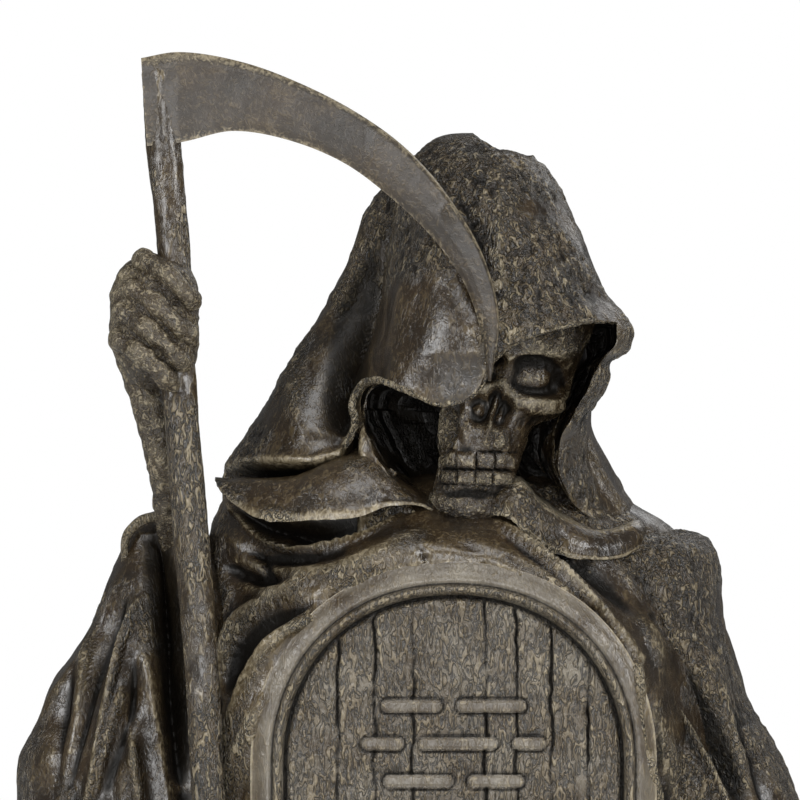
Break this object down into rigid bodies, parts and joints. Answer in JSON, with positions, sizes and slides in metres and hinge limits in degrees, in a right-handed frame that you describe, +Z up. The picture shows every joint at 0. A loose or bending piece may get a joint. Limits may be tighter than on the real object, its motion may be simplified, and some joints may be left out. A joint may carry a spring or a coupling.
{
  "type": "grim reaper figurine",
  "caption": "Hooded skeleton in a long robe leaning over an arched grave marker, one bony hand on a tall scythe whose blade curves over the hood; a standing ornament on a low flat plinth.",
  "frame": {"origin": "middle of the plinth's underside, on the surface that it stands on", "axes": "+Z up, the face and the grave marker look along -Y, the scythe is on the -X side"},
  "size_m": [0.4038, 0.244, 0.549],
  "materials": {
    "antique_resin": "cast resin painted dark bronze grey and dry-brushed with a lighter tan, semi-matt"
  },
  "bodies": {
    "root": {"reaper_statue": "antique_resin"}
  },
  "joints": []
}
